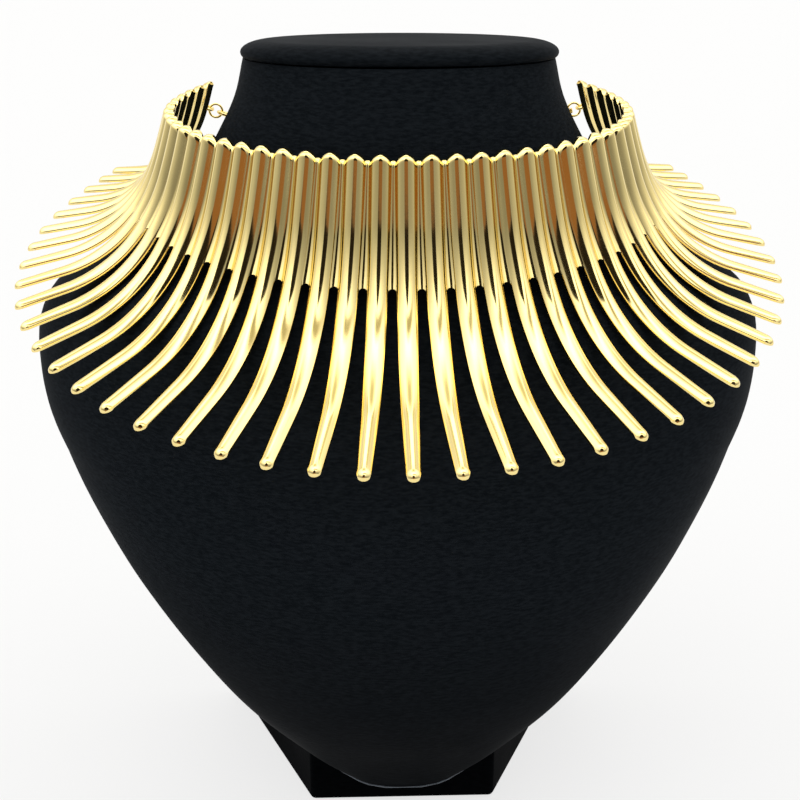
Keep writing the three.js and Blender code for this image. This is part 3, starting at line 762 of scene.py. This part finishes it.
def build_foot(material):
    """A block that widens backward, cut off at the top along the slope of the torso's back."""
    back = FOOT_FRONT + FOOT_DEPTH
    drop = FOOT_GAP * math.hypot(1, LIP_SLOPE)
    front_top = LIP_Z + (FOOT_FRONT - LIP_Y) * LIP_SLOPE - drop
    knee = LIP_Y + (FOOT_HEIGHT + drop - LIP_Z) / LIP_SLOPE

    def half_at(y):
        share = (y - FOOT_FRONT) / FOOT_DEPTH
        return (FOOT_FRONT_WIDTH + share * (FOOT_BACK_WIDTH - FOOT_FRONT_WIDTH)) / 2

    side = [(FOOT_FRONT, 0), (FOOT_FRONT, front_top), (knee, FOOT_HEIGHT), (back, FOOT_HEIGHT),
            (back, 0)]
    points = [(sign * half_at(y), y + NECK_AXIS.y, z) for sign in (-1, 1) for y, z in side]
    count = len(side)
    faces = [tuple(range(count)), tuple(reversed(range(count, 2 * count)))]
    for n in range(count):
        m = (n + 1) % count
        faces.append((n, n + count, m + count, m))
    obj = new_object("foot_cover", points, faces, material, smooth_angle=30)
    rounding = obj.modifiers.new("rounding", "BEVEL")
    rounding.width = FOOT_ROUNDING * MM
    rounding.segments = ROUNDING_STEPS
    rounding.harden_normals = True
    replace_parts(obj, "bust_foot")


# Surroundings

def build_floor():
    bpy.ops.mesh.primitive_plane_add(size=FLOOR_SIZE)
    floor = bpy.context.object
    floor.name = "floor"
    material = bpy.data.materials.new("pale_floor")
    n = Nodes(material)
    shader = n.add("BsdfPrincipled", {
        "Base Color": FLOOR_SHADE, "Roughness": 0.9, "Specular IOR Level": 0.0,
        "Emission Color": (1, 1, 1, 1), "Emission Strength": FLOOR_GLOW})
    n.output("OutputMaterial", shader)
    floor.data.materials.append(material)


def studio_angles(n):
    """Angles of a direction in degrees, by name. Beside is measured from the dark area."""
    x, y, z = n.add("SeparateXYZ", {0: n.add("TexCoord").outputs["Generated"]}).outputs
    front = n.math("MULTIPLY", y, -1.0)
    turn = n.math("DEGREES", n.math("ARCTAN2", x, front))
    over = n.math("DEGREES", n.math("ARCTAN2", z, front))  # 0 in front, 90 overhead, 180 behind
    aside = n.math("DEGREES", n.math("ARCSINE", x))
    across = n.math("ABSOLUTE", aside)
    return {
        "height": n.math("DEGREES", n.math("ARCSINE", z)),
        "around": n.math("ABSOLUTE", turn),
        "over": over, "aside": aside, "across": across,
        "beside": n.math("SUBTRACT", across, n.range(over, *FIGURE_HALF)),
    }


def build_light():
    """A studio of soft light: bright overhead, calm sides and a dark narrow front."""
    world = bpy.data.worlds.new("studio")
    bpy.context.scene.world = world
    n = Nodes(world)
    angles = studio_angles(n)
    height, around = angles["height"], angles["around"]
    shading = n.range(height, *LOW_HEIGHTS, n.range(around, *LOW_SHADING), 1.0)
    sides = n.scale(n.ramp(height, SIDE_LEVELS), shading)
    back = n.ramp(height, BACK_LEVELS)
    colour = n.mix(n.range(around, *SIDE_TO_BACK), sides, back)
    for shade, *ranges in AREAS:
        inside = 1.0
        for angle, start, full in ranges:
            inside = n.math("MULTIPLY", n.range(angles[angle], start, full), inside)
        colour = n.mix(inside, colour, tuple(c / BRIGHTEST for c in shade) + (1,))
    studio = n.add("Background", {"Color": colour, "Strength": BRIGHTEST})
    plain = n.add("Background", {"Color": BACKDROP, "Strength": 1.0})
    seen = n.add("LightPath").outputs["Is Camera Ray"]
    n.output("OutputWorld", n.add("MixShader", {0: seen, 1: studio.outputs[0],
                                                2: plain.outputs[0]}))


def build_camera():
    data = bpy.data.cameras.new("camera")
    data.sensor_width = SENSOR
    data.lens = FOCAL_PIXELS / FRAME_PIXELS * data.sensor_width
    data.clip_start = NEAREST
    camera = bpy.data.objects.new("camera", data)
    camera.location = [c * MM for c in CAMERA_PLACE]
    camera.rotation_euler = (math.pi / 2 - CAMERA_DOWN, 0, -CAMERA_TURN)
    bpy.context.scene.collection.objects.link(camera)
    bpy.context.scene.camera = camera


polished_gold = gold_material()
leatherette = leatherette_material("black_leatherette", shade=1.3, gloss=0.006)
cap_cloth = leatherette_material("cap_covering", shade=1.1, gloss=0.012)
# painted shade: the foot's cloth is a darker copy of the leatherette, for the shadow under the
# torso's lip
foot_cloth_painted_shade = leatherette_material("foot_covering_painted_shade", shade=0.6, gloss=0.004)
# painted highlight: a far lighter, glossy copy of the leatherette gives the lip's cord the light
# line of an edge catching the light
piping_painted_highlight = leatherette_material("lip_piping_painted_highlight", shade=26.0, gloss=0.6)

build_collar(polished_gold)
build_ring("jump_ring_left", polished_gold)
build_ring("jump_ring_right", polished_gold)
build_chain(polished_gold)
build_torso(leatherette)
build_highlight_piping(piping_painted_highlight)
build_cap(cap_cloth)
build_foot(foot_cloth_painted_shade)
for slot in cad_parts["clasp"].material_slots:
    slot.material = polished_gold

build_floor()
build_light()
build_camera()
bpy.context.scene.view_settings.view_transform = "Standard"
